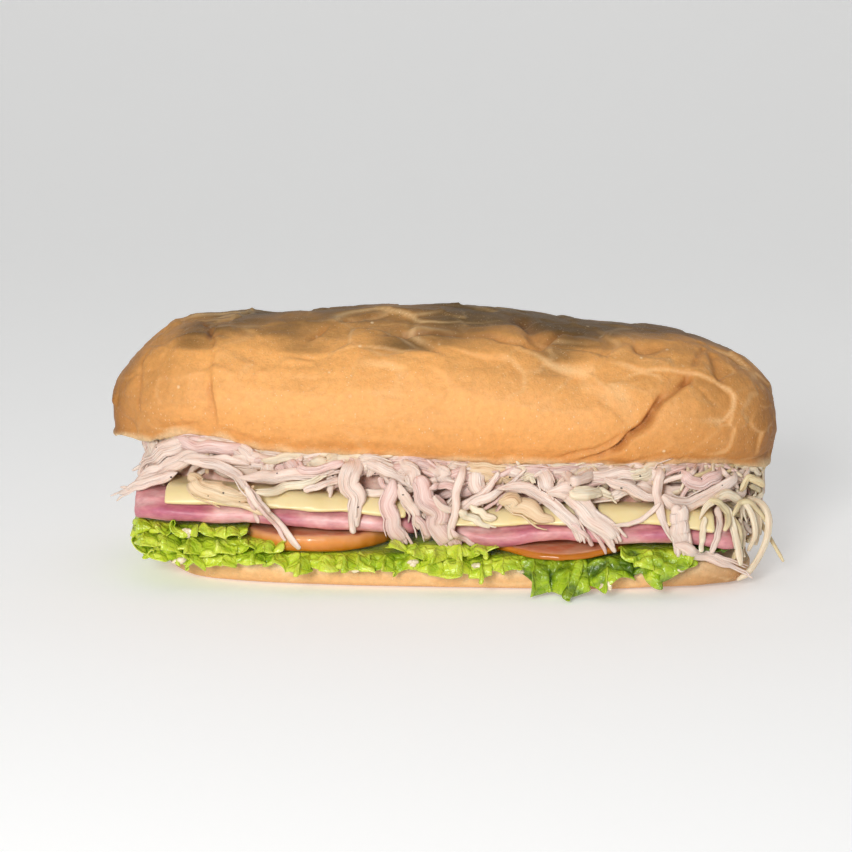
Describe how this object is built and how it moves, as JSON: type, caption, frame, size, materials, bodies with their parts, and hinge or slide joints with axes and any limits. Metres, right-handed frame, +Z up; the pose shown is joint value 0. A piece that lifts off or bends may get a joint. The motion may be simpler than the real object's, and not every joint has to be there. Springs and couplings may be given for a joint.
{
  "type": "chicken sandwich",
  "caption": "Long filled bread roll, cut open lengthwise, with shredded chicken over cheese, folded ham, tomato and frilly lettuce on a low flat base.",
  "frame": {"origin": "middle of the box round the whole roll, on the surface it stands on", "axes": "+X along the roll, towards its blunt right end; -Y is the front that the picture shows; +Z up"},
  "size_m": [0.2632, 0.1114, 0.1034],
  "materials": {
    "crust": "matt baked crust",
    "chicken": "moist fibres",
    "cheese": "smooth, slightly glossy",
    "ham": "moist",
    "tomato": "wet",
    "lettuce": "wet, waxy"
  },
  "bodies": {
    "root": {"bun_bottom": "crust", "bun_top": "crust", "leaf_low_left": "lettuce", "leaf_low_middle": "lettuce", "leaf_low_right": "lettuce", "leaf_high_left": "lettuce", "leaf_high_middle": "lettuce", "leaf_high_right": "lettuce", "tomato_left": "tomato", "tomato_right": "tomato", "ham_left": "ham", "ham_right": "ham", "cheese_left": "cheese", "cheese_middle": "cheese", "cheese_right": "cheese", "shredded_chicken": "chicken"}
  },
  "joints": []
}
